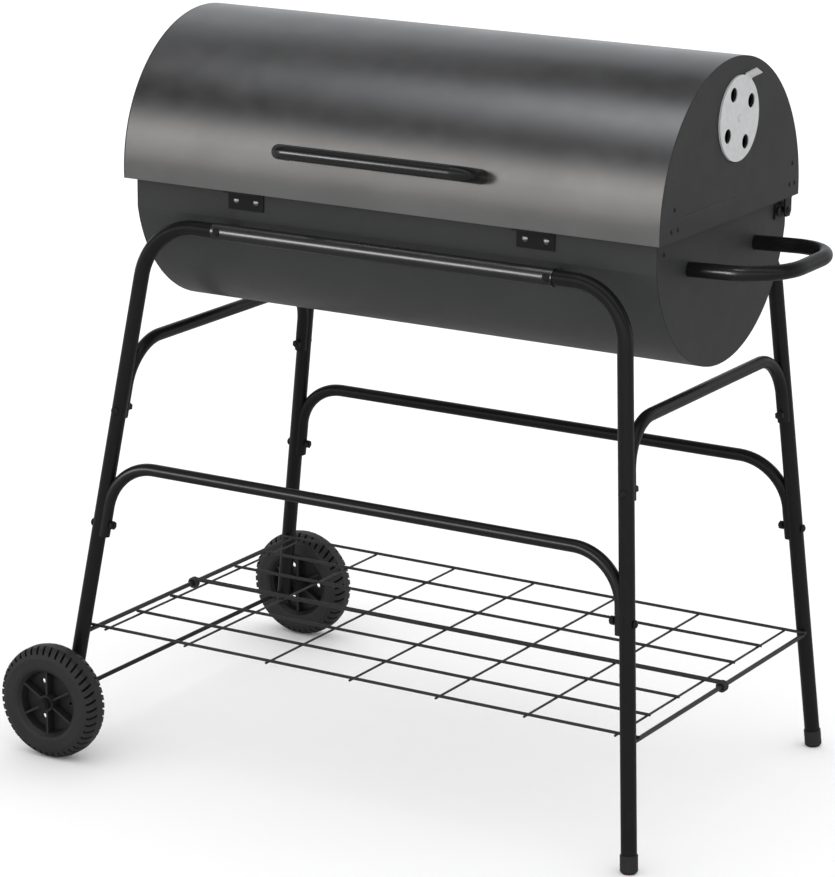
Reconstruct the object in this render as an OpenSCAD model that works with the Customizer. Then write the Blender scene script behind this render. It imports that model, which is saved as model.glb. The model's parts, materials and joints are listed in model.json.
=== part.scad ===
// Barrel charcoal grill on a two-wheel cart: hinged half-drum lid with a
// rotary air vent, firebowl, bolted tube frame and wire shelf.
// Millimetres. Origin on the floor below the middle of the whole grill, from
// its wheels to its side handle; +X towards the side handle, -Y towards the
// cook, +Z up. The pieces are drawn about the middle of the barrel.

/* [Barrel] */
// Length of the lid over its end plates
lid_length = 775; // [600:5:900]
// Outside radius of the lid
lid_radius = 190; // [150:1:230]
// Height of the lid's own axis above the floor
lid_axis_z = 773; // [650:1:900]
// Height of the lid's lower edge
split_z = 762; // [650:1:900]
// Length of the firebowl over its end plates
bowl_length = 754; // [560:2:880]
// Half width of the bowl at its straight rim
bowl_half_width = 175.5; // [140:0.5:220]
// Height of the bottom of the bowl
bowl_bottom_z = 578.8; // [450:0.1:700]
// Height where the curved belly meets the straight rim band
bowl_crease_z = 724; // [600:1:850]
// Height of the bowl's rim, inside the lid
bowl_rim_z = 768; // [650:1:900]
// Sheet thickness of lid and bowl wrappers
sheet = 1.2; // [0.8:0.1:2.5]
// Thickness of the pressed end plates
plate = 1.5; // [1:0.1:3]

/* [Frame tubes] */
// Outside diameter of the leg tubes
leg_diameter = 20; // [15:0.5:28]
// Outside diameter of the two top rails
rail_diameter = 22.4; // [17:0.1:32]
// Outside diameter of the four braces
brace_diameter = 16.5; // [10:0.5:22]
// Wall thickness of the frame tubes
tube_wall = 1.3; // [0.8:0.1:2.5]
// Height of the top rails
rail_z = 710.6; // [600:0.1:800]
// Bend radius at the top of each leg on the handle side
leg_bend_right = 74; // [40:1:120]
// Bend radius at the top of each leg on the wheel side
leg_bend_left = 82; // [40:1:120]
// Distance of the feet in front of and behind the middle
foot_y = 263.7; // [200:1:350]
// Inward lean of the legs, front to back
lean_y = 5.2; // [0:0.05:12]
// Foot position on the handle side
foot_x_right = 404; // [300:1:500]
// Inward lean on the handle side
lean_right = 4.6; // [0:0.01:12]
// Foot position on the wheel side, carried down to the floor
foot_x_left = 447.2; // [300:1:520]
// Inward lean on the wheel side
lean_left = 8.5; // [0:0.01:14]
// Height where the wheel-side legs stop
leg_left_end = 58; // [30:1:75]
// Height of the front brace
brace_z_front = 390; // [250:0.5:550]
// Height of the rear brace
brace_z_rear = 396.5; // [250:0.5:550]
// Bend radius of the front and rear braces
brace_bend = 70; // [30:1:110]
// Height of the side brace by the handle
side_brace_z_right = 545.5; // [400:0.5:640]
// Height of the side brace over the wheels
side_brace_z_left = 549.5; // [400:0.5:640]
// Bend radius of the side braces
side_brace_bend = 62; // [30:1:90]
// Height of the front and rear brace bolts
brace_bolt_z = 309; // [200:1:450]
// Height of the side brace bolts
side_bolt_z = 467; // [350:1:560]

/* [Wheels] */
// Outside diameter of the wheels
wheel_diameter = 152; // [120:2:220]
// Width of each wheel
wheel_width = 42; // [25:1:70]
// Distance of the wheel's outer face from the middle
wheel_face_y = 324; // [280:1:380]
// Position of the axle along the cart
axle_x = 434; // [350:1:500]
// Diameter of the axle rod
axle_diameter = 6; // [5:0.5:12]
// Number of tread grooves in each of the two rows
tread_grooves = 44; // [20:1:60]

/* [Shelf] */
// Height of the rods at the two ends of the shelf
shelf_z = 160; // [100:1:300]
// Distance from the middle to the outermost long wires
shelf_half_depth = 235; // [150:1:260]
// Spacing of the seven cross wires
shelf_pitch = 127; // [80:1:160]
// Position of the middle cross wire
shelf_mid_x = -14; // [-40:1:40]

/* [Lid handle] */
// Distance of the grip from the lid's axis
handle_reach = 226.3; // [205:0.1:260]
// Angle of the handle above the horizontal
handle_angle = 14; // [0:0.1:60]
// Half distance between the handle's feet
handle_half = 139; // [60:1:250]
// Grip diameter of both handles
grip_diameter = 19; // [10:0.5:30]

/* [Side handle] */
// Half distance between the side handle's feet
side_handle_half = 91; // [50:1:140]
// Height of the side handle
side_handle_z = 716; // [620:1:750]
// Reach of the side handle beyond the bowl
side_handle_reach = 118.5; // [40:0.5:140]
// Bend radius of the side handle
side_handle_bend = 64; // [20:1:80]
// Upward tilt of the side handle
side_handle_tilt = 2.1; // [0:0.1:10]

/* [Vent] */
// Diameter of the rotary vent disc
vent_diameter = 106; // [60:1:150]
// Vent centre behind the middle of the lid
vent_y = 8; // [-60:1:60]
// Vent centre height
vent_z = 886.5; // [800:0.5:950]
// Diameter of each of the four air holes
vent_hole = 18; // [8:0.5:25]
// Radius of the circle of air holes
vent_hole_circle = 35.7; // [20:0.1:50]

/* [Hinge] */
// Distance of the lid's pivot behind the middle
pivot_y = 165; // [150:0.5:220]
// Height of the lid's pivot
pivot_z = 745; // [680:0.5:800]

/* [Hidden] */
$fn = 96;
leg_r = leg_diameter / 2;
rail_r = rail_diameter / 2;
brace_r = brace_diameter / 2;
grip_r = grip_diameter / 2;
axle_r = axle_diameter / 2;
wheel_r = wheel_diameter / 2;
lid_x = lid_length / 2;
bowl_x = bowl_length / 2;
// Middle of the barrel, which puts the whole grill's middle on the origin
barrel_x = (axle_x + wheel_r - bowl_x - side_handle_reach - grip_r) / 2;
// Belly arc through both crease points and the bottom of the bowl
bowl_drop = bowl_crease_z - bowl_bottom_z;
bowl_r = (bowl_half_width * bowl_half_width + bowl_drop * bowl_drop) / (2 * bowl_drop);
bowl_axis_z = bowl_bottom_z + bowl_r;
// Heights measured along the leaning frame planes
rail_s = rail_z / cos(lean_y);
rail_joint_left = -241;
rail_joint_right = 252;
joint_overlap = 45;
rail_screw_x = [-232, 245];
// From the rail's axis to the inner face of the bowl's belly
rail_gap = (foot_y - rail_s * sin(lean_y)
            - sqrt(pow(bowl_r - sheet, 2) - pow(bowl_axis_z - rail_z, 2))) / cos(lean_y);
brace_inset = 8;
// Stand-off that lets a flat head or nut sit on a leaning tube
seat = 1;
// Bends neck in by this much, and runs lap into them
neck = 0.05;
lap = 1;
running_gap = 0.06;
body_gap = 0.3;
vent_face = lid_x + 0.3;
vent_thick = 1.2;
vent_rise = 2.6;
// Directions of the air holes, measured from +Y
vent_angles = [29.5, 119.5, 209.5, 299.5];
plate_x = [-208, 212];
bracket_width = 53;
rivet_pattern = [[170, 804.7], [163.6, 778.3], [177.9, 778.2]];
front_pattern = [[-154.2, 800.9], [-161.1, 775.3], [-144.2, 775.1]];
wire = 4;
thin_wire = 3;
heavy_wire = 6;
// Bolt that holds each hinge plate to its bowl end
plate_bolt_y = 148;
ledge_z = 743.5;
coal_z = 634.5;

black = [0.07, 0.07, 0.075];
graphite = [0.33, 0.33, 0.34];
charcoal = [0.2, 0.2, 0.21];
zinc = [0.72, 0.72, 0.73];
wire_grey = [0.32, 0.32, 0.33];

// ---------- shared shapes ----------

// Moves a piece from the barrel's own frame to that of the whole grill
module placed() {
    translate([barrel_x, 0, 0]) children();
}

// Cylinder lying along X from x0 to x1
module xrod(x0, x1, r) {
    translate([x0, 0, 0]) rotate([0, 90, 0]) cylinder(h = x1 - x0, r = r);
}

// Cylinder lying along Y from y0 to y1
module yrod(y0, y1, r) {
    translate([0, y0, 0]) rotate([-90, 0, 0]) cylinder(h = y1 - y0, r = r);
}

// Hexagon nut along Z with a round bore
module hex_nut(af, h, bore) {
    difference() {
        cylinder(h = h, r = af / sqrt(3), $fn = 6);
        translate([0, 0, -1]) cylinder(h = h + 2, r = bore);
    }
}

// Domed screw head standing on Z = 0
module dome_head(r, h) {
    intersection() {
        translate([0, 0, h - (r * r + h * h) / (2 * h)])
            sphere(r = (r * r + h * h) / (2 * h));
        cylinder(h = h, r = r);
    }
}

// Frame planes: the front and rear frames lean back by lean_y,
// the side braces lie in planes leaning with the legs
module front_plane() {
    translate([0, -foot_y, 0]) rotate([-lean_y, 0, 0]) children();
}

module front_or_rear(rear) {
    mirror([0, rear ? 1 : 0, 0]) front_plane() children();
}

function foot_x(side) = side > 0 ? foot_x_right : foot_x_left;
function lean_x(side) = side > 0 ? lean_right : lean_left;
// Lean of a side plane, and of the legs as seen within it
function side_lean_x(side) = atan(tan(lean_x(side)) / cos(lean_y));
function side_lean_y(side) = asin(cos(lean_x(side)) * sin(lean_y));

module side_plane(side) {
    translate([side * foot_x(side), 0, 0])
        rotate([0, -side * side_lean_x(side), 0]) rotate([0, 0, 90]) children();
}

// Places +Z along the axis of a leg, starting on the floor
module leg_axis(side, rear) {
    front_or_rear(rear)
        translate([side * foot_x(side), 0, 0])
            rotate([0, -side * lean_x(side), 0]) children();
}

// Where the bend of a tube ends and its level run begins, on the +X side
function bend_x(top, bend, foot, lean, inset) =
    foot - inset / cos(lean) - tan(lean) * top - bend * cos(lean) / (1 + sin(lean));

// Bend and downward run of a tube in the XZ plane: from height top it turns
// down beside a leg standing at foot and leaning by lean, held inset inside
// the leg's axis, and stops at height bottom. The bend necks in slightly.
module bent_end(top, bend, foot, lean, inset, bottom, r) {
    drop = (top - bend + bend * sin(lean) - bottom) / cos(lean);
    translate([bend_x(top, bend, foot, lean, inset), 0, top - bend]) rotate([90, 0, 0])
        rotate([0, 0, lean]) {
            rotate_extrude(angle = 90 - lean) translate([bend, 0]) circle(r = r - neck);
            translate([bend, lap, 0]) rotate([90, 0, 0]) cylinder(h = drop + lap, r = r);
        }
}

// ---------- legs and rails ----------

module leg_solid(side, rear, r, bottom, stub) {
    front_or_rear(rear) mirror([side > 0 ? 0 : 1, 0, 0]) {
        bend = side > 0 ? leg_bend_right : leg_bend_left;
        bent_end(rail_s, bend, foot_x(side), lean_x(side), 0, bottom, r);
        translate([0, 0, rail_s])
            xrod(stub, bend_x(rail_s, bend, foot_x(side), lean_x(side), 0) + lap, r);
    }
}

function leg_stub(side) =
    (side > 0 ? rail_joint_right : -rail_joint_left) - joint_overlap;

module leg(side, rear) {
    bottom = side > 0 ? 4 : leg_left_end;
    color(black) placed() difference() {
        leg_solid(side, rear, leg_r, bottom, leg_stub(side));
        leg_solid(side, rear, leg_r - tube_wall, bottom - 2, leg_stub(side) - 2);
        front_or_rear(rear) {
            translate([side > 0 ? rail_screw_x[1] : rail_screw_x[0], 0, rail_s])
                yrod(-20, 20, 3);
            translate([0, 0, brace_bolt_z])
                xrod(side > 0 ? 300 : -500, side > 0 ? 500 : -300, 3);
        }
        mirror([0, rear ? 1 : 0, 0]) side_plane(side)
            translate([0, 0, side_bolt_z]) xrod(-300, -150, 3);
        shelf_rod_holes(side, rear);
        if (side < 0)
            translate([-axle_x, 0, wheel_r]) yrod(-400, 400, axle_r);
    }
}

module leg_front_left() leg(-1, false);
module leg_front_right() leg(1, false);
module leg_rear_left() leg(-1, true);
module leg_rear_right() leg(1, true);

module rail(rear) {
    color(black) placed() front_or_rear(rear) translate([0, 0, rail_s]) difference() {
        xrod(rail_joint_left, rail_joint_right, rail_r);
        xrod(rail_joint_left - 1, rail_joint_right + 1, leg_r);
        for (x = rail_screw_x) translate([x, 0, 0]) yrod(-20, 20, 3);
    }
}

module rail_front() rail(false);
module rail_rear() rail(true);

// Long screws through the rail joints into the bowl wall
module rail_screws() {
    color(black) placed() for (rear = [false, true], x = rail_screw_x)
        front_or_rear(rear) translate([x, 0, rail_s]) {
            yrod(-rail_r, rail_gap + 12, 3);
            translate([0, -rail_r, 0]) rotate([90, 0, 0]) dome_head(5.5, 3.4);
            translate([0, rail_gap + 3.4, 0]) rotate([-90, 0, 0]) hex_nut(10, 5, 3);
        }
}

// Sleeves that hold the bowl off the rails
module bowl_spacers() {
    color(black) placed() difference() {
        for (rear = [false, true], x = rail_screw_x)
            front_or_rear(rear) translate([x, 0, rail_s]) difference() {
                yrod(rail_r - 4, rail_r + 22, 7);
                yrod(0, 40, 3);
                xrod(-10, 10, rail_r);
            }
        bowl_form(0, bowl_x + 1);
    }
}

// ---------- braces ----------

module brace(rear) {
    s = (rear ? brace_z_rear : brace_z_front) / cos(lean_y);
    color(black) placed() difference() {
        front_or_rear(rear) brace_form(s, brace_r, 293);
        front_or_rear(rear) brace_form(s, brace_r - tube_wall, 290);
        for (side = [-1, 1]) leg_axis(side, rear) cylinder(h = 600, r = leg_r);
        front_or_rear(rear) translate([0, 0, brace_bolt_z]) xrod(-500, 500, 3);
    }
}

module brace_form(s, r, bottom) {
    for (side = [-1, 1]) mirror([side > 0 ? 0 : 1, 0, 0])
        bent_end(s, brace_bend, foot_x(side), lean_x(side), brace_inset, bottom, r);
    translate([0, 0, s])
        xrod(-lap - bend_x(s, brace_bend, foot_x(-1), lean_x(-1), brace_inset),
             lap + bend_x(s, brace_bend, foot_x(1), lean_x(1), brace_inset), r);
}

module brace_front() brace(false);
module brace_rear() brace(true);

module side_brace_form(side, s, r, bottom) {
    reach = lap + bend_x(s, side_brace_bend, foot_y, side_lean_y(side), brace_inset);
    for (k = [0, 1]) mirror([k, 0, 0])
        bent_end(s, side_brace_bend, foot_y, side_lean_y(side), brace_inset, bottom, r);
    translate([0, 0, s]) xrod(-reach, reach, r);
}

module side_brace(side) {
    s = (side > 0 ? side_brace_z_right : side_brace_z_left) / cos(side_lean_x(side));
    color(black) placed() difference() {
        side_plane(side) side_brace_form(side, s, brace_r, 456);
        side_plane(side) side_brace_form(side, s, brace_r - tube_wall, 453);
        for (rear = [false, true]) leg_axis(side, rear) cylinder(h = 660, r = leg_r);
        side_plane(side) translate([0, 0, side_bolt_z]) xrod(-400, 400, 3);
    }
}

module side_brace_left() side_brace(-1);
module side_brace_right() side_brace(1);

// Places +Z along each brace bolt, pointing inwards, head at Z = 0
module at_front_bolts(side, rear) {
    front_or_rear(rear) mirror([side > 0 ? 0 : 1, 0, 0])
        translate([foot_x(side) - tan(lean_x(side)) * brace_bolt_z, 0, brace_bolt_z])
            rotate([0, -90, 0]) translate([0, 0, -leg_r]) children();
}

module at_side_bolts(side, rear) {
    side_plane(side) mirror([rear ? 1 : 0, 0, 0])
        translate([-foot_y + tan(side_lean_y(side)) * side_bolt_z, 0, side_bolt_z])
            rotate([0, 90, 0]) translate([0, 0, -leg_r]) children();
}

module brace_bolts() {
    color(black) placed() for (side = [-1, 1], rear = [false, true]) {
        at_front_bolts(side, rear) bolt();
        at_side_bolts(side, rear) bolt();
    }
}

module bolt() {
    translate([0, 0, -seat]) {
        cylinder(h = leg_r + brace_inset + brace_r + 2 * seat + 6.5, r = 3);
        mirror([0, 0, 1]) dome_head(5.5, 3.2);
    }
}

module brace_nuts() {
    color(black) placed() for (side = [-1, 1], rear = [false, true]) {
        at_front_bolts(side, rear) brace_nut();
        at_side_bolts(side, rear) brace_nut();
    }
}

module brace_nut() {
    translate([0, 0, leg_r + brace_inset + brace_r + seat]) hex_nut(10, 5, 3);
}

// ---------- feet, axle and wheels ----------

module foot_cap(rear) {
    color(black) placed() difference() {
        leg_axis(1, rear) difference() {
            union() {
                cylinder(h = 3, r1 = leg_r - 1.5, r2 = leg_r + 1.2);
                translate([0, 0, 3]) cylinder(h = 20, r = leg_r + 1.2);
            }
            translate([0, 0, 4]) cylinder(h = 30, r = leg_r);
        }
        translate([300, -400, -20]) cube([200, 800, 20]);
    }
}

module foot_cap_front() foot_cap(false);
module foot_cap_rear() foot_cap(true);

module axle() {
    color(black) placed() translate([-axle_x, 0, wheel_r]) yrod(-wheel_face_y, wheel_face_y, axle_r);
}

module axle_push_nuts() {
    color(black) placed() for (m = [0, 1]) mirror([0, m, 0])
        translate([-axle_x, 0, wheel_r]) difference() {
            union() {
                yrod(-wheel_face_y - 1.5, -wheel_face_y + 4, 8);
                yrod(-wheel_face_y - 3, -wheel_face_y, 5.5);
            }
            yrod(-wheel_face_y, 0, axle_r);
        }
}

// Half section of the moulded wheel, X outwards, Y across the width
module wheel_section() {
    polygon([[6, 5], [11, 5], [11, 20], [40, 20], [42, 8], [46, 3], [50, 1], [62, 1],
             [wheel_r - 5, 4], [wheel_r - 1.6, 9], [wheel_r, 15],
             [wheel_r, wheel_width - 15], [wheel_r - 1.6, wheel_width - 9],
             [wheel_r - 5, wheel_width - 4], [62, wheel_width - 1], [50, wheel_width - 1],
             [46, wheel_width - 3], [42, wheel_width - 8], [40, 24], [12, 24],
             [12, wheel_width + 14], [6, wheel_width + 14]]);
}

module wheel_spokes() {
    for (k = [0 : 5]) rotate([0, 0, 30 + 60 * k]) {
        translate([8, -1.5, 7]) cube([35, 3, 14]);
        translate([8, -1.5, 23]) cube([33, 3, 12]);
    }
}

// Two staggered rows of slanting grooves cut in from the tyre's shoulders
module wheel_tread() {
    for (row = [0, 1], k = [0 : tread_grooves - 1])
        rotate([0, 0, (k + row / 2) * 360 / tread_grooves])
            translate([wheel_r - 9, 0, row * wheel_width])
                rotate([row > 0 ? 160 : 20, 0, 0]) translate([0, -1.5, -3]) cube([12, 3, 19]);
}

// Wheel with its outer face on Z = 0, body towards +Z
module wheel() {
    difference() {
        union() {
            rotate_extrude() wheel_section();
            wheel_spokes();
        }
        wheel_tread();
        translate([0, 0, -1]) cylinder(h = wheel_width + 40, r = axle_r + running_gap);
        for (k = [0 : 2]) rotate([0, 0, 120 * k]) translate([28, 0, 15])
            cylinder(h = 12, r = 3.6);
    }
}

module wheel_front() {
    color(black) placed()
        translate([-axle_x, -wheel_face_y, wheel_r]) rotate([-90, 0, 0]) wheel();
}

module wheel_rear() {
    mirror([0, 1, 0]) wheel_front();
}

// ---------- shelf ----------

shelf_rod_x = [-416.5, 394];

module shelf_rod_holes(side, rear) {
    translate([shelf_rod_x[side > 0 ? 1 : 0], 0, shelf_z])
        yrod(rear ? 200 : -245, rear ? 245 : -200, heavy_wire / 2);
}

// End rod from leg to leg, its tips hooked into the tubes
module shelf_rod(x) {
    color(wire_grey) placed() translate([x, 0, shelf_z]) yrod(-245, 245, heavy_wire / 2);
}

module shelf_rod_left() shelf_rod(shelf_rod_x[0]);
module shelf_rod_right() shelf_rod(shelf_rod_x[1]);

// Welded wire rack: thin cross wires under long wires, the outer long wires
// lying on the end rods and the doubled middle wire hooked round them
module shelf_rack() {
    top = shelf_z + heavy_wire / 2 + wire / 2 + 0.05;
    end = 3 * shelf_pitch + 6;
    weld = 0.4;
    color(wire_grey) placed() {
        for (k = [-3 : 3])
            translate([shelf_mid_x + k * shelf_pitch, 0, top - (wire + thin_wire) / 2 + weld])
                yrod(-shelf_half_depth - 3, shelf_half_depth + 3, thin_wire / 2);
        for (k = [-2, -1, 1, 2]) translate([0, k * shelf_half_depth / 3, top])
            xrod(shelf_mid_x - end, shelf_mid_x + end, wire / 2);
        for (y = [-1, 1]) translate([0, y * shelf_half_depth, top])
            xrod(shelf_rod_x[0] - 6, shelf_rod_x[1] + 6, wire / 2);
        for (y = [-2.6, 2.6]) translate([0, y, 0]) eyelet_wire(top);
    }
}

// Wire whose ends loop round the end rods
module eyelet_wire(top) {
    loop_r = wire / 2 + 0.25;
    loop = heavy_wire / 2 + loop_r + 0.1;
    translate([0, 0, top]) xrod(shelf_rod_x[0], shelf_rod_x[1], wire / 2);
    for (x = shelf_rod_x) translate([x, 0, shelf_z]) rotate([90, 0, 0])
        rotate_extrude() translate([loop, 0]) circle(r = loop_r);
}

// ---------- firebowl ----------

// Solid form of the bowl, taken in by inset, closed at +-half
module bowl_form(inset, half) {
    intersection() {
        translate([0, 0, bowl_axis_z]) xrod(-half, half, bowl_r - inset);
        translate([-half - 1, -bowl_r - 1, bowl_bottom_z - 10])
            cube([2 * half + 2, 2 * bowl_r + 2, bowl_crease_z - bowl_bottom_z + 10]);
    }
    translate([-half, inset - bowl_half_width, bowl_crease_z - 0.5])
        cube([2 * half, 2 * (bowl_half_width - inset), bowl_rim_z - bowl_crease_z + 0.5]);
}

module bowl_shell() {
    color(charcoal) placed() difference() {
        bowl_form(0, bowl_x - plate);
        bowl_form(sheet, bowl_x);
        for (rear = [false, true], x = rail_screw_x)
            front_or_rear(rear) translate([x, 0, rail_s]) yrod(0, 80, 3);
        bracket_screw_places() translate([0, 0, -10]) cylinder(h = 30, r = 2);
    }
}

// End plate with a lip tucked inside the wrapper
module bowl_end(side) {
    color(charcoal) placed() mirror([side > 0 ? 0 : 1, 0, 0]) difference() {
        union() {
            intersection() {
                bowl_form(0, bowl_x);
                translate([bowl_x - plate, -300, 400]) cube([plate, 600, 500]);
            }
            intersection() {
                bowl_form(sheet, bowl_x - plate);
                translate([bowl_x - plate - 12, -300, 400]) cube([12, 600, 500]);
            }
        }
        bowl_form(sheet + plate, bowl_x - plate);
        translate([bowl_x, -158, 746]) xrod(-20, 20, 2.5);
        translate([bowl_x, plate_bolt_y, 746]) xrod(-20, 20, 3);
        translate([bowl_x, pivot_y, pivot_z]) xrod(-20, 20, 5.5);
        if (side > 0)
            for (m = [0, 1]) mirror([0, m, 0])
                translate([bowl_x, side_handle_half, side_handle_z]) xrod(-20, 20, 3);
    }
}

module bowl_end_left() bowl_end(-1);
module bowl_end_right() bowl_end(1);

// One rivet near the front rim of each end plate
module bowl_end_rivets() {
    color(black) placed() for (m = [0, 1]) mirror([m, 0, 0]) translate([bowl_x, -158, 746]) {
        rotate([0, 90, 0]) dome_head(3.6, 1.4);
        xrod(-plate - 1, 0, 2.5);
        translate([-plate, 0, 0]) rotate([0, -90, 0]) dome_head(4, 1.6);
    }
}

// Tube loop standing off the bowl end, tilted up about its own feet
module side_handle() {
    bend = side_handle_bend;
    level = side_handle_half - bend;
    color(black) placed() translate([bowl_x, 0, side_handle_z]) difference() {
        rotate([0, -side_handle_tilt, 0]) {
            for (m = [0, 1]) mirror([0, m, 0]) {
                translate([0, -side_handle_half, 0]) xrod(-2, side_handle_reach - bend, grip_r);
                translate([side_handle_reach - bend, -level, 0]) rotate([0, 0, -90])
                    rotate_extrude(angle = 90) translate([bend, 0]) circle(r = grip_r);
            }
            translate([side_handle_reach, 0, 0]) yrod(-level, level, grip_r);
        }
        translate([-10, -150, -30]) cube([10, 300, 60]);
        for (y = [-1, 1]) translate([0, y * side_handle_half, 0]) xrod(-1, 20, 3);
    }
}

// Screws that hold the side handle from inside the bowl
module side_handle_nuts() {
    color(zinc) placed() for (m = [0, 1]) mirror([0, m, 0])
        translate([bowl_x - plate, -side_handle_half, side_handle_z]) {
            xrod(0, plate + 18, 3);
            rotate([0, -90, 0]) dome_head(6, 4);
        }
}

// Places +Z outwards on the flat rim band at each bracket screw
module bracket_screw_places() {
    for (m = [0, 1]) mirror([0, m, 0])
        for (x = plate_x, dx = [-14.8, 14.8])
            translate([x + dx, -bowl_half_width, 748.5]) rotate([90, 0, 0]) children();
}

// Small angle brackets under the front edge of the lid; the lid's edge
// comes down on their top flanges
module lid_rest_brackets() {
    lip = lid_radius - bowl_half_width - 1;
    color(black) placed() for (x = plate_x) difference() {
        translate([x - bracket_width / 2, -bowl_half_width - 1.6, 737]) union() {
            cube([bracket_width, 1.6, split_z - body_gap - 737]);
            translate([0, -lip, split_z - body_gap - 1.6 - 737])
                cube([bracket_width, lip + 1, 1.6]);
        }
        for (dx = [-14.8, 14.8])
            translate([x + dx, -bowl_half_width, 748.5]) yrod(-20, 20, 2);
    }
}

// Screws through the brackets and rim band into the grate ledges
module bracket_screws() {
    color(zinc) placed() for (m = [0, 1]) mirror([0, m, 0])
        for (x = plate_x, dx = [-14.8, 14.8])
            translate([x + dx, -bowl_half_width - (m == 0 ? 1.6 : 0), 748.5]) {
                rotate([90, 0, 0]) dome_head(3.9, 2);
                yrod(0, (m == 0 ? 1.6 : 0) + sheet + 5, 2);
                translate([0, (m == 0 ? 1.6 : 0) + sheet + 1.5, 0])
                    rotate([-90, 0, 0]) hex_nut(7, 3, 2);
            }
}

// Angle strip inside the rim band that carries the cooking grates
module grate_ledge(rear) {
    color(charcoal) placed() mirror([0, rear ? 1 : 0, 0]) difference() {
        translate([-350, -bowl_half_width + sheet, ledge_z - 1.5]) union() {
            cube([700, 1.5, 15]);
            cube([700, 14, 1.5]);
        }
        for (x = plate_x, dx = [-14.8, 14.8])
            translate([x + dx, -bowl_half_width, 748.5]) yrod(-20, 20, 2);
    }
}

module grate_ledge_front() grate_ledge(false);
module grate_ledge_rear() grate_ledge(true);

// Flat strip across the bowl that carries the charcoal grate
module coal_crossbar(x) {
    color(charcoal) placed() intersection() {
        bowl_form(sheet, bowl_x);
        translate([x - 2, -200, coal_z - 16]) cube([4, 400, 16]);
    }
}

module coal_crossbar_left() coal_crossbar(-240);
module coal_crossbar_right() coal_crossbar(240);

// ---------- grates ----------

// Welded wire grid: a round-cornered rod frame with cross wires, lying
// with the underside of its frame on height z
module wire_grid(x0, x1, half, z, rod, thin, count) {
    rc = 12;
    step = (x1 - x0) / (count + 1);
    translate([0, 0, z + rod]) {
        for (y = [-half, half]) translate([0, y, 0]) xrod(x0 + rc, x1 - rc, rod);
        for (x = [x0, x1]) translate([x, 0, 0]) yrod(rc - half, half - rc, rod);
        translate([x0 + rc, rc - half, 0]) grid_corner(180, rc, rod);
        translate([x1 - rc, rc - half, 0]) grid_corner(270, rc, rod);
        translate([x1 - rc, half - rc, 0]) grid_corner(0, rc, rod);
        translate([x0 + rc, half - rc, 0]) grid_corner(90, rc, rod);
        for (k = [1 : count]) translate([x0 + k * step, 0, 0]) yrod(-half, half, thin);
        for (y = [-half / 3, half / 3]) translate([0, y, -rod - thin + 1]) xrod(x0, x1, rod);
    }
}

module grid_corner(a, rc, rod) {
    rotate([0, 0, a]) rotate_extrude(angle = 90) translate([rc, 0]) circle(r = rod);
}

module coal_grate() {
    color(wire_grey) placed()
        wire_grid(-330, 330, 122, coal_z + body_gap + 3.4, 2.5, 2, 32);
}

module cooking_grate(x0, x1) {
    color(zinc) placed() wire_grid(x0, x1, 165, ledge_z + body_gap, 2.5, 1.6, 21);
}

module cooking_grate_left() cooking_grate(-348, -3);
module cooking_grate_right() cooking_grate(3, 348);

// ---------- hinge ----------

// Plate on the bowl end that carries the pivot
module hinge_plate(side) {
    color(black) placed() mirror([side > 0 ? 0 : 1, 0, 0]) difference() {
        translate([bowl_x, 0, 0]) union() {
            translate([0, pivot_y - 24, pivot_z - 9]) cube([2.5, 24, 18]);
            translate([0, pivot_y, pivot_z]) xrod(0, 2.5, 9);
        }
        translate([bowl_x, plate_bolt_y, 746]) xrod(-5, 5, 3);
        translate([bowl_x, pivot_y, pivot_z]) xrod(-5, 5, 3);
    }
}

module hinge_plate_left() hinge_plate(-1);
module hinge_plate_right() hinge_plate(1);

module hinge_plate_bolts() {
    color(black) placed() for (m = [0, 1]) mirror([m, 0, 0])
        translate([bowl_x + 2.5, plate_bolt_y, 746]) {
            rotate([0, 90, 0]) cylinder(h = 3, r = 5 / cos(30), $fn = 6);
            xrod(-2.5 - plate - 6, 0.5, 3);
            translate([-2.5 - plate, 0, 0]) rotate([0, -90, 0]) hex_nut(10, 4.5, 3);
        }
}

// Shouldered pivot rivet fixed in the hinge plate
module hinge_pin(side) {
    color(black) placed() mirror([side > 0 ? 0 : 1, 0, 0])
        translate([bowl_x, pivot_y, pivot_z]) {
            xrod(-1.5, 10, 3);
            translate([9.6, 0, 0]) rotate([0, 90, 0]) dome_head(5, 2);
            rotate([0, -90, 0]) dome_head(4.8, 2);
        }
}

module hinge_pin_left() hinge_pin(-1);
module hinge_pin_right() hinge_pin(1);

// Ear riveted inside the lid's end plate, hanging down to the pivot
module hinge_ear(side) {
    color(black) placed() mirror([side > 0 ? 0 : 1, 0, 0])
        translate([lid_x - plate - 2.5, 0, 0]) difference() {
            rotate([90, 0, 90]) linear_extrude(height = 2.5)
                polygon([[155, 769], [157, 788], [163, 811], [175, 811], [184, 794],
                         [185.5, 766], [pivot_y + 9, 760], [pivot_y + 9, pivot_z - 2],
                         [pivot_y + 5, pivot_z - 8], [pivot_y - 5, pivot_z - 8],
                         [pivot_y - 9, pivot_z - 2], [pivot_y - 9, 760]]);
            translate([0, pivot_y, pivot_z]) xrod(-1, 4, 3 + running_gap);
            for (p = rivet_pattern) translate([0, p[0], p[1]]) xrod(-1, 4, 2);
        }
}

module hinge_ear_left() hinge_ear(-1);
module hinge_ear_right() hinge_ear(1);

// Guide plate riveted inside the front corner of the lid; it keeps the
// closed lid centred on the bowl ends
module lid_guide(side) {
    color(black) placed() mirror([side > 0 ? 0 : 1, 0, 0])
        translate([lid_x - plate - 2.5, 0, 0]) difference() {
            rotate([90, 0, 90]) linear_extrude(height = 2.5)
                polygon([[-180, split_z + 1], [-183, 783], [-168, 809], [-145, 809],
                         [-136, 783], [-137, split_z + 1]]);
            for (p = front_pattern) translate([0, p[0], p[1]]) xrod(-1, 4, 2);
        }
}

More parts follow.
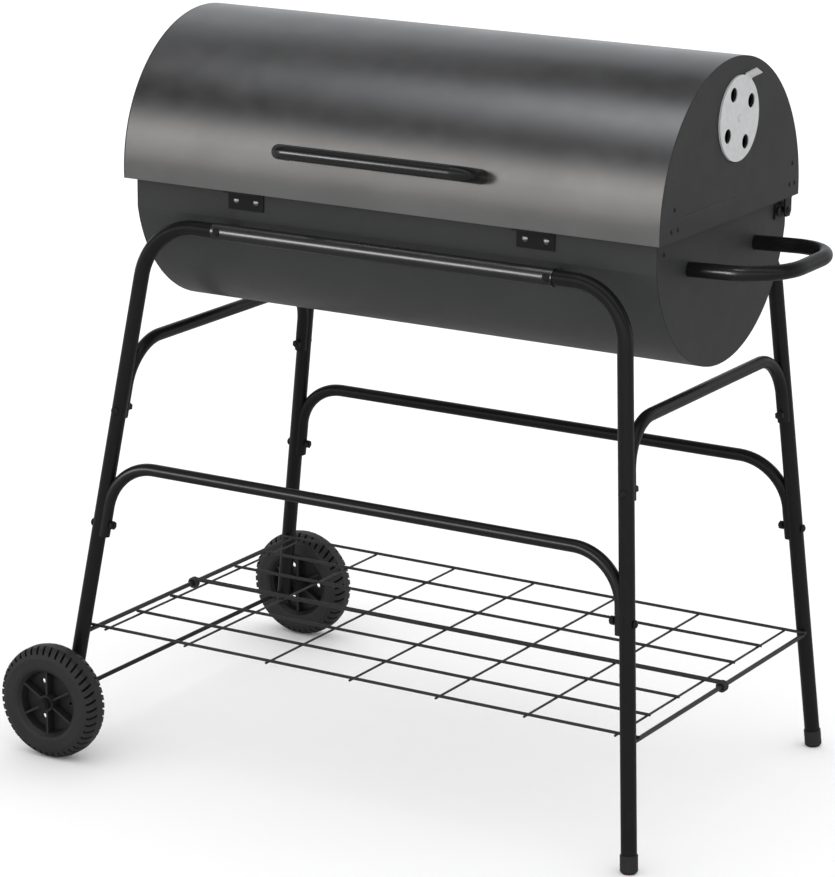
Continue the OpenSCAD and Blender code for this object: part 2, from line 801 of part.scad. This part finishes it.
module lid_guide_left() lid_guide(-1);
module lid_guide_right() lid_guide(1);

// ---------- lid ----------

module below_split() {
    translate([-600, -400, split_z - 400]) cube([1200, 800, 400]);
}

module lid_shell() {
    color(graphite) placed() difference() {
        translate([0, 0, lid_axis_z]) xrod(plate - lid_x, lid_x - plate, lid_radius);
        translate([0, 0, lid_axis_z]) xrod(-lid_x, lid_x, lid_radius - sheet);
        below_split();
        for (x = [-handle_half, handle_half]) lid_handle_axis(x)
            cylinder(h = 300, r = 3);
    }
}

// Places +Z along the radius of the lid through a handle foot
module lid_handle_axis(x) {
    translate([x, 0, lid_axis_z]) rotate([90 - handle_angle, 0, 0]) children();
}

module lid_end(side) {
    color(charcoal) placed() mirror([side > 0 ? 0 : 1, 0, 0]) difference() {
        translate([0, 0, lid_axis_z]) difference() {
            union() {
                xrod(lid_x - plate, lid_x, lid_radius);
                xrod(lid_x - plate - 10, lid_x - plate, lid_radius - sheet);
            }
            xrod(lid_x - plate - 11, lid_x - plate, lid_radius - sheet - plate);
        }
        below_split();
        translate([lid_x + 3.7, 0, 788.5]) yrod(-135, 5, 4);
        for (p = concat(rivet_pattern, front_pattern))
            translate([lid_x, p[0], p[1]]) xrod(-5, 5, 2);
        if (side > 0) translate([lid_x, vent_y, vent_z]) {
            xrod(-5, 5, 3);
            for (a = vent_angles) rotate([a, 0, 0])
                translate([0, vent_hole_circle, 0]) xrod(-5, 5, vent_hole / 2);
        }
    }
}

module lid_end_left() lid_end(-1);
module lid_end_right() lid_end(1);

module lid_handle() {
    bend = 20;
    color(black) placed() difference() {
        lid_handle_axis(0) {
            for (m = [0, 1]) mirror([m, 0, 0]) {
                translate([handle_half, 0, lid_radius])
                    cylinder(h = handle_reach - lid_radius - bend, r = grip_r);
                translate([handle_half - bend, 0, handle_reach - bend]) rotate([90, 0, 0])
                    rotate_extrude(angle = 90) translate([bend, 0]) circle(r = grip_r);
            }
            translate([0, 0, handle_reach]) xrod(bend - handle_half, handle_half - bend, grip_r);
        }
        translate([0, 0, lid_axis_z]) xrod(-200, 200, lid_radius);
        for (x = [-handle_half, handle_half]) lid_handle_axis(x)
            cylinder(h = lid_radius + 14, r = 3);
    }
}

module lid_handle_nuts() {
    color(zinc) placed() for (x = [-handle_half, handle_half]) lid_handle_axis(x) {
        translate([0, 0, lid_radius - sheet - 1]) cylinder(h = 14, r = 3);
        translate([0, 0, lid_radius - sheet - 0.3]) mirror([0, 0, 1]) dome_head(6, 4);
    }
}

module lid_rivets() {
    color(black) placed() for (m = [0, 1]) mirror([m, 0, 0])
        for (p = concat(rivet_pattern, front_pattern)) translate([lid_x, p[0], p[1]]) {
            rotate([0, 90, 0]) dome_head(3.4, 1.3);
            xrod(-plate - 2.5, 0, 2);
            translate([-plate - 2.5, 0, 0]) rotate([0, -90, 0]) dome_head(3.4, 1.2);
        }
}

// Rivet the vent disc turns on
module vent_rivet() {
    color(zinc) placed() translate([0, vent_y, vent_z]) {
        xrod(lid_x - plate, vent_face + vent_rise + 0.4, 3);
        translate([vent_face + vent_rise + 0.3, 0, 0]) rotate([0, 90, 0]) dome_head(4.5, 0.9);
        translate([lid_x - plate, 0, 0]) rotate([0, -90, 0]) dome_head(6, 2);
    }
}

// Shallow dished disc with four air holes, a turned rim and a finger tab
module vent_disc() {
    color(zinc) placed() translate([vent_face, vent_y, vent_z]) rotate([0, 90, 0]) difference() {
        union() {
            translate([0, 0, vent_rise - vent_thick]) cylinder(h = vent_thick, r = vent_diameter / 2);
            difference() {
                cylinder(h = vent_rise, r = vent_diameter / 2);
                translate([0, 0, -1]) cylinder(h = vent_rise, r = vent_diameter / 2 - 1.4);
            }
            rotate([0, 0, 155]) translate([46, -9, vent_rise - vent_thick]) {
                cube([9, 18, vent_thick]);
                translate([9, 0, 0]) rotate([0, -58, 0]) cube([15, 18, vent_thick]);
            }
        }
        translate([0, 0, -1]) cylinder(h = 10, r = 3 + running_gap);
        for (a = vent_angles) rotate([0, 0, a + 90])
            translate([vent_hole_circle, 0, -1]) cylinder(h = 10, r = vent_hole / 2);
    }
}

// ---------- assembly ----------

leg_front_left();
leg_front_right();
leg_rear_left();
leg_rear_right();
rail_front();
rail_rear();
rail_screws();
bowl_spacers();
brace_front();
brace_rear();
side_brace_left();
side_brace_right();
brace_bolts();
brace_nuts();
foot_cap_front();
foot_cap_rear();
axle();
axle_push_nuts();
wheel_front();
wheel_rear();
shelf_rack();
shelf_rod_left();
shelf_rod_right();
bowl_shell();
bowl_end_left();
bowl_end_right();
bowl_end_rivets();
side_handle();
side_handle_nuts();
lid_rest_brackets();
bracket_screws();
grate_ledge_front();
grate_ledge_rear();
hinge_plate_left();
hinge_plate_right();
hinge_plate_bolts();
hinge_pin_left();
hinge_pin_right();
coal_crossbar_left();
coal_crossbar_right();
coal_grate();
cooking_grate_left();
cooking_grate_right();
lid_shell();
lid_end_left();
lid_end_right();
lid_handle();
lid_handle_nuts();
hinge_ear_left();
hinge_ear_right();
lid_guide_left();
lid_guide_right();
lid_rivets();
vent_rivet();
vent_disc();
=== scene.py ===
# Barrel charcoal grill: looks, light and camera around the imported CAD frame.
import bpy
import bmesh
import json
import math
from mathutils import Matrix, Vector


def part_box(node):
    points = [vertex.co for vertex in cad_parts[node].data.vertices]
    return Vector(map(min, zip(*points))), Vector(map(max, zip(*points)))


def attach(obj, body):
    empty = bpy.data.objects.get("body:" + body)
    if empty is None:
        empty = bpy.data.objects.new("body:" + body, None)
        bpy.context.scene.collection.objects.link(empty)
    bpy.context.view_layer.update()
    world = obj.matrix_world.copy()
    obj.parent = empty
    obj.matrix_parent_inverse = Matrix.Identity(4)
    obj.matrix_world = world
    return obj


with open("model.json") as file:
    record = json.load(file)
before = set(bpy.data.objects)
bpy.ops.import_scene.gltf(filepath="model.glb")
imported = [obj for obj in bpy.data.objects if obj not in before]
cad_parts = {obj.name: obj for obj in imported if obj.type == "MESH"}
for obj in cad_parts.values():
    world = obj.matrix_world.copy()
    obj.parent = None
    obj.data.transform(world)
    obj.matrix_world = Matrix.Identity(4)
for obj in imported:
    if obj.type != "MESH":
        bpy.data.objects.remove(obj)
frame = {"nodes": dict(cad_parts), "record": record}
nodes = frame["nodes"]
scene = bpy.context.scene
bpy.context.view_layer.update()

MM = 0.001
# Sockets of a colour Mix node, by index because their names repeat
MIX_A, MIX_B, MIX_COLOUR = 6, 7, 2


# ---------- camera ----------

# Degrees: round from the front, down, and rolled
CAMERA_ANGLES = (30.9955, 15.4061, 0.3851)
CAMERA_PLACE = (2.2751, -3.8805, 1.6659)
CAMERA_LENS, CAMERA_SENSOR = 154.53, 36.0
CAMERA_CLIP = (0.1, 60.0)


def make_camera():
    """Long lens from the front right, looking down a little."""
    heading, pitch, roll = (math.radians(a) for a in CAMERA_ANGLES)
    forward = Vector((-math.sin(heading) * math.cos(pitch),
                      math.cos(heading) * math.cos(pitch), -math.sin(pitch)))
    level = Vector((math.cos(heading), math.sin(heading), 0))
    up = level.cross(forward)
    right = level * math.cos(roll) + up * math.sin(roll)
    top = up * math.cos(roll) - level * math.sin(roll)
    data = bpy.data.cameras.new("camera")
    data.sensor_fit = "HORIZONTAL"
    data.sensor_width = CAMERA_SENSOR
    data.lens = CAMERA_LENS
    data.clip_start, data.clip_end = CAMERA_CLIP
    camera = bpy.data.objects.new("camera", data)
    turn = Matrix((right, top, -forward)).transposed().to_4x4()
    camera.matrix_world = Matrix.Translation(CAMERA_PLACE) @ turn
    scene.collection.objects.link(camera)
    scene.camera = camera


# ---------- light and floor ----------

# Brightness of the studio as the paint mirrors it, by angle round the barrel: 0 is
# the horizon in front, 90 overhead and 180 the horizon behind. Tuned.
FRONT_BANDS = [
    (-180, 0.5), (-60, 0.5), (-18, 0.44), (-8, 0.52), (0, 0.7), (7, 0.82), (13, 0.99),
    (20, 1.06), (27, 0.8), (34, 0.42), (42, 0.12), (50, 0.03), (58, 0.02), (70, 0.03),
    (84, 0.08), (94, 0.13), (106, 0.22), (118, 0.4), (134, 0.58), (152, 0.56), (180, 0.62)]
OVERHEAD_BANDS = [
    (-180, 0.5), (-60, 0.5), (-18, 0.46), (-8, 0.54), (0, 0.72), (7, 0.86), (13, 1.04),
    (20, 1.12), (27, 0.8), (34, 0.34), (42, 0.1), (50, 0.16), (58, 0.5), (66, 0.92),
    (74, 1.2), (82, 0.9), (90, 0.36), (98, 0.1), (108, 0.02), (118, 0.02), (134, 0.36),
    (152, 0.54), (180, 0.72)]
# The X of a mirrored direction over which the front bands give way to the overhead ones
OVERHEAD_FROM_X, OVERHEAD_TO_X = -0.555, -0.44
WARM = (1.035, 1.0, 0.965)
COOL = (0.97, 0.99, 1.03)
WARM_BELOW = 30
EVEN_STRENGTH = 1.2

# Name, place, aimed at, size, watts and the CAD nodes lit. They draw the highlight
# lines along the rail, a brace and the two handles. The last one ends to the left,
# so the right third of the lid handle stays dark.
RAIL_NODES = ("rail_front", "side_handle")
STRIPS = (
    ("front_strip", (-1.9, -3.0, 1.15), (0.1, -0.2, 0.72), (3.4, 0.95), 290, RAIL_NODES),
    ("overhead_strip", (-0.5, -0.9, 2.9), (0.2, -0.2, 0.72), (2.4, 0.35), 26, RAIL_NODES),
    ("brace_strip", (-1.9, -3.0, 1.15), (0.1, -0.2, 0.4), (3.4, 0.95), 95,
     ("brace_front",)),
    ("handle_strip", (-2.45, -3.0, 1.15), (-2.45, -0.2, 0.83), (1.6, 0.9), 75,
     ("lid_handle",)),
)

FLOOR_REACH = 14
FLOOR_SEEN = (0.95, 0.95, 0.95, 1)
FLOOR_MIRRORED = (0.34, 0.337, 0.334, 1)
FLOOR_ROUGHNESS = 0.95


def band_ramp(tree, bands):
    """Colour ramp over the full turn from -180 to 180 degrees."""
    ramp = tree.nodes.new("ShaderNodeValToRGB")
    elements = ramp.color_ramp.elements
    while len(elements) < len(bands):
        elements.new(0.5)
    for element, (angle, level) in zip(elements, bands):
        tint = WARM if angle < WARM_BELOW else COOL
        element.position = 0.5 + angle / 360
        element.color = tuple(level * t for t in tint) + (1,)
    return ramp


def map_range(tree, value, low, high):
    """Node that maps value from the range low to high onto 0 to 1."""
    made = tree.nodes.new("ShaderNodeMapRange")
    made.inputs["From Min"].default_value = low
    made.inputs["From Max"].default_value = high
    tree.links.new(value, made.inputs["Value"])
    return made.outputs[0]


def make_world():
    """Even white for the floor and the view, banded softboxes in the paint."""
    world = bpy.data.worlds.new("studio")
    scene.world = world
    world.use_nodes = True
    tree = world.node_tree
    tree.nodes.clear()
    new, link = tree.nodes.new, tree.links.new
    coords = new("ShaderNodeTexCoord")
    split = new("ShaderNodeSeparateXYZ")
    link(coords.outputs["Generated"], split.inputs[0])
    forward = new("ShaderNodeMath")
    forward.operation = "MULTIPLY"
    forward.inputs[1].default_value = -1
    link(split.outputs["Y"], forward.inputs[0])
    angle = new("ShaderNodeMath")
    angle.operation = "ARCTAN2"
    link(split.outputs["Z"], angle.inputs[0])
    link(forward.outputs[0], angle.inputs[1])
    place = map_range(tree, angle.outputs[0], -math.pi, math.pi)
    bands = new("ShaderNodeMix")
    bands.data_type = "RGBA"
    link(map_range(tree, split.outputs["X"], OVERHEAD_FROM_X, OVERHEAD_TO_X), bands.inputs[0])
    for socket, levels in ((MIX_A, FRONT_BANDS), (MIX_B, OVERHEAD_BANDS)):
        ramp = band_ramp(tree, levels)
        link(place, ramp.inputs[0])
        link(ramp.outputs[0], bands.inputs[socket])
    mirrored = new("ShaderNodeBackground")
    link(bands.outputs[MIX_COLOUR], mirrored.inputs["Color"])
    even = new("ShaderNodeBackground")
    even.inputs["Color"].default_value = (1, 1, 1, 1)
    even.inputs["Strength"].default_value = EVEN_STRENGTH
    mix = new("ShaderNodeMixShader")
    out = new("ShaderNodeOutputWorld")
    link(new("ShaderNodeLightPath").outputs["Is Glossy Ray"], mix.inputs[0])
    link(even.outputs[0], mix.inputs[1])
    link(mirrored.outputs[0], mix.inputs[2])
    link(mix.outputs[0], out.inputs[0])


def strip_light(name, place, target, size, power, lit):
    """Rectangular softbox that lights only the CAD nodes named in lit."""
    data = bpy.data.lights.new(name, "AREA")
    data.shape = "RECTANGLE"
    data.size, data.size_y = size
    data.energy = power
    light = bpy.data.objects.new(name, data)
    light.location = place
    aim = Vector(target) - Vector(place)
    light.rotation_euler = aim.to_track_quat("-Z", "Y").to_euler()
    scene.collection.objects.link(light)
    group = bpy.data.collections.new(name + "_lit")
    for node in lit:
        group.objects.link(nodes[node])
    light.light_linking.receiver_collection = group


def make_floor():
    """White floor that the paint mirrors as a darker one."""
    mesh = bpy.data.meshes.new("floor")
    bm = bmesh.new()
    bmesh.ops.create_grid(bm, x_segments=1, y_segments=1, size=FLOOR_REACH)
    bm.to_mesh(mesh)
    bm.free()
    floor = bpy.data.objects.new("floor", mesh)
    scene.collection.objects.link(floor)
    mat = bpy.data.materials.new("floor")
    mat.use_nodes = True
    tree = mat.node_tree
    shader = tree.nodes["Principled BSDF"]
    shade = tree.nodes.new("ShaderNodeMix")
    shade.data_type = "RGBA"
    shade.inputs[MIX_A].default_value = FLOOR_SEEN
    shade.inputs[MIX_B].default_value = FLOOR_MIRRORED
    path = tree.nodes.new("ShaderNodeLightPath")
    tree.links.new(path.outputs["Is Glossy Ray"], shade.inputs[0])
    tree.links.new(shade.outputs[MIX_COLOUR], shader.inputs["Base Color"])
    shader.inputs["Roughness"].default_value = FLOOR_ROUGHNESS
    shader.inputs["Specular IOR Level"].default_value = 0.0
    mesh.materials.append(mat)


# ---------- materials ----------

class Nodes:
    """Short helper for building a material's node tree."""

    def __init__(self, name):
        self.mat = bpy.data.materials.new(name)
        self.mat.use_nodes = True
        self.tree = self.mat.node_tree
        self.coords = self.tree.nodes.new("ShaderNodeTexCoord").outputs["Object"]

    def put(self, socket, value):
        """Link an output to a socket, or set the socket's own value."""
        if hasattr(value, "links"):
            self.tree.links.new(value, socket)
        else:
            socket.default_value = value

    def node(self, kind, **inputs):
        """New node of a kind, with its inputs named with _ for each space."""
        made = self.tree.nodes.new(kind)
        for key, value in inputs.items():
            self.put(made.inputs[key.replace("_", " ")], value)
        return made

    def noise(self, scale, detail, stretch=None):
        vector = self.coords
        if stretch:
            vector = self.node("ShaderNodeMapping", Vector=vector, Scale=stretch).outputs[0]
        made = self.node("ShaderNodeTexNoise", Scale=scale, Detail=detail, Vector=vector)
        return made.outputs["Fac"]

    def ranged(self, value, low, high, from_low=0.0, from_high=1.0):
        return self.node("ShaderNodeMapRange", Value=value, From_Min=from_low,
                         From_Max=from_high, To_Min=low, To_Max=high).outputs[0]

    def mix(self, factor, first, second):
        made = self.tree.nodes.new("ShaderNodeMix")
        made.data_type = "RGBA"
        self.put(made.inputs[0], factor)
        self.put(made.inputs[MIX_A], first)
        self.put(made.inputs[MIX_B], second)
        return made.outputs[MIX_COLOUR]

    def bump(self, height, strength, distance):
        return self.node("ShaderNodeBump", Strength=strength, Distance=distance,
                         Height=height).outputs[0]

    def surface(self, colour, roughness, normal, **plain):
        """Finish the shader, with plain values for the sockets named in plain."""
        shader = self.tree.nodes["Principled BSDF"]
        self.put(shader.inputs["Base Color"], colour)
        self.put(shader.inputs["Roughness"], roughness)
        self.put(shader.inputs["Normal"], normal)
        for key, value in plain.items():
            shader.inputs[key.replace("_", " ")].default_value = value
        return self.mat


def grey(level, warm=0.0):
    return (level * (1 + warm), level, level * (1 - warm), 1)


def baked_paint(name, level, roughness, metallic=0.0, specular=0.5, coat=0.0,
                grain=0.5, warm=0.0):
    """Sprayed, oven-baked paint: fine orange peel, slight mottling, settled dust."""
    n = Nodes(name)
    mottle = n.ranged(n.noise(9.0, 3.0), 0.0, 1.0, 0.3, 0.7)
    flecks = n.ranged(n.noise(3200.0, 1.0), 0.0, 0.3, 0.5, 0.8)
    dust = n.ranged(n.noise(55.0, 6.0), 0.0, 0.08, 0.55, 0.75)
    sheen = n.ranged(n.noise(30.0, 4.0), roughness - 0.03, roughness + 0.03, 0.3, 0.7)
    peel = n.bump(n.noise(900.0, 2.0), grain, 0.00006)
    colour = n.mix(mottle, grey(level * 0.93, warm), grey(level * 1.07, warm))
    colour = n.mix(flecks, colour, grey(level * 1.6, warm))
    colour = n.mix(dust, colour, grey(level * 1.6 + 0.02))
    return n.surface(colour, sheen, peel, Metallic=metallic, Specular_IOR_Level=specular,
                     Coat_Weight=coat, Coat_Roughness=0.1)


def zinc_plate(name, level, roughness):
    """Bright zinc plate with faint clouding and a fine grain."""
    n = Nodes(name)
    colour = n.mix(n.noise(160.0, 4.0), grey(level * 0.8, -0.02), grey(level * 1.15, 0.01))
    sheen = n.ranged(n.noise(420.0, 3.0), roughness - 0.08, roughness + 0.12, 0.3, 0.7)
    grain = n.bump(n.noise(2600.0, 2.0), 0.25, 0.00004)
    return n.surface(colour, sheen, grain, Metallic=1.0)


def galvanised(name):
    """Pale galvanised sheet with a soft crystal spangle."""
    n = Nodes(name)
    crystal = n.node("ShaderNodeTexVoronoi", Vector=n.coords, Scale=170.0)
    spangle = n.node("ShaderNodeSeparateColor", Color=crystal.outputs["Color"]).outputs[0]
    colour = n.mix(spangle, grey(0.5, -0.01), grey(0.55, -0.01))
    grain = n.bump(n.noise(1500.0, 2.0), 0.15, 0.00004)
    return n.surface(colour, n.ranged(spangle, 0.42, 0.5), grain, Metallic=0.15)


def moulded_plastic(name, level, roughness):
    """Black plastic, uneven in tone, with the fine grain of its mould."""
    n = Nodes(name)
    uneven = n.ranged(n.noise(22.0, 5.0), 0.0, 1.0, 0.35, 0.7)
    sheen = n.ranged(n.noise(60.0, 4.0), roughness - 0.05, roughness + 0.07, 0.3, 0.7)
    grain = n.bump(n.noise(1400.0, 3.0), 0.5, 0.00012)
    return n.surface(n.mix(uneven, grey(level * 0.88), grey(level * 1.15)), sheen, grain)


def plated_rod(name, level, roughness):
    """Bright plated rod with drawing lines."""
    n = Nodes(name)
    lines = n.noise(300.0, 3.0, stretch=(1.0, 0.05, 8.0))
    colour = n.mix(lines, grey(level * 0.85), grey(level * 1.1))
    sheen = n.ranged(lines, roughness - 0.05, roughness + 0.12)
    return n.surface(colour, sheen, n.bump(lines, 0.15, 0.00004), Metallic=1.0)


# The look of each material slot: what makes it, and with what
LOOKS = {
    "frame_paint": (baked_paint, dict(level=0.006, roughness=0.3, specular=0.24, coat=0.05,
                                      grain=0.3)),
    "handle_paint": (baked_paint, dict(level=0.005, roughness=0.26, specular=0.4, coat=0.15,
                                       grain=0.12)),
    "hardware_black": (baked_paint, dict(level=0.009, roughness=0.38, specular=0.24)),
    "zinc": (zinc_plate, dict(level=0.6, roughness=0.28)),
    "cap_plastic": (moulded_plastic, dict(level=0.012, roughness=0.55)),
    "wheel_plastic": (moulded_plastic, dict(level=0.015, roughness=0.5)),
    "wire_enamel": (baked_paint, dict(level=0.022, roughness=0.4, specular=0.4)),
    "bowl_enamel": (baked_paint, dict(level=0.038, roughness=0.4, specular=0.34,
                                      warm=-0.03)),
    "lid_enamel": (baked_paint, dict(level=0.275, roughness=0.23, metallic=0.95,
                                     grain=0.25)),
    "end_enamel": (baked_paint, dict(level=0.025, roughness=0.5, specular=0.32,
                                     warm=-0.02)),
    "grate_chrome": (plated_rod, dict(level=0.55, roughness=0.2)),
    "vent_steel": (galvanised, {}),
}


def paint_nodes():
    """Give every CAD node the look of its slot."""
    made = {slot: make(slot, **values) for slot, (make, values) in LOOKS.items()}
    for entry in frame["record"]["subparts"]:
        node = nodes[entry["node"]]
        node.data.materials.clear()
        node.data.materials.append(made[entry["material_slot"]])
    return made


# ---------- details ----------

# The shelf's wires: seven thin cross wires under six long ones and a middle pair
CROSS_WIRES, CROSS_PITCH, CROSS_OVERHANG = 7, 127 * MM, 3 * MM
# From the rack's right end to its middle cross wire
RACK_END_TO_MIDDLE = 414 * MM
LONG_ROWS = (-3, -2, -1, 1, 2, 3)
# Height of the crossings below the top of the long wires
CROSSING_DROP = 3.9 * MM
BEAD_LENGTH, BEAD_WIDTH, BEAD_HEIGHT = 3.4 * MM, 3.0 * MM, 1.5 * MM
BEAD_SIDES = 12
# Height and spread of each ring of a bead, as parts of its half height and half width
BEAD_RINGS = ((-1.0, 0.45), (-0.45, 0.9), (0.1, 1.0), (0.6, 0.82), (1.0, 0.4))
# How much a bead's lumps turn from one long wire to the next
BEAD_TURN = 2.3


def weld_bead(bm, x, y, z, turn):
    """Low lumpy bead of spot-weld flash squeezed out round one crossing."""
    rings = []
    for height, spread in BEAD_RINGS:
        ring = []
        for k in range(BEAD_SIDES):
            a = 2 * math.pi * k / BEAD_SIDES
            lump = 1 + 0.1 * math.sin(3 * a + turn) + 0.06 * math.cos(5 * a - 2 * turn)
            ring.append(bm.verts.new((x + spread * lump * BEAD_LENGTH * math.cos(a) / 2,
                                      y + spread * lump * BEAD_WIDTH * math.sin(a) / 2,
                                      z + height * BEAD_HEIGHT / 2)))
        rings.append(ring)
    for low, high in zip(rings, rings[1:]):
        for k in range(BEAD_SIDES):
            n = (k + 1) % BEAD_SIDES
            bm.faces.new((low[k], low[n], high[n], high[k]))
    bm.faces.new(rings[0][::-1])
    bm.faces.new(rings[-1])


def make_shelf_welds(material):
    """Weld beads where the shelf's cross wires meet its long wires."""
    low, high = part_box("shelf_rack")
    middle = high[0] - RACK_END_TO_MIDDLE
    half_depth = (high[1] - low[1]) / 2 - CROSS_OVERHANG
    bm = bmesh.new()
    for column in range(CROSS_WIRES):
        x = middle + (column - CROSS_WIRES // 2) * CROSS_PITCH
        for row in LONG_ROWS:
            weld_bead(bm, x, row * half_depth / LONG_ROWS[-1], high[2] - CROSSING_DROP,
                      column + BEAD_TURN * row)
    mesh = bpy.data.meshes.new("shelf_welds")
    bm.to_mesh(mesh)
    bm.free()
    mesh.shade_smooth()
    mesh.materials.append(material)
    piece = bpy.data.objects.new("shelf_welds", mesh)
    scene.collection.objects.link(piece)
    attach(piece, "cart")


make_camera()
make_world()
for strip in STRIPS:
    strip_light(*strip)
make_floor()
looks = paint_nodes()
make_shelf_welds(looks["wire_enamel"])

scene.view_settings.view_transform = "Standard"
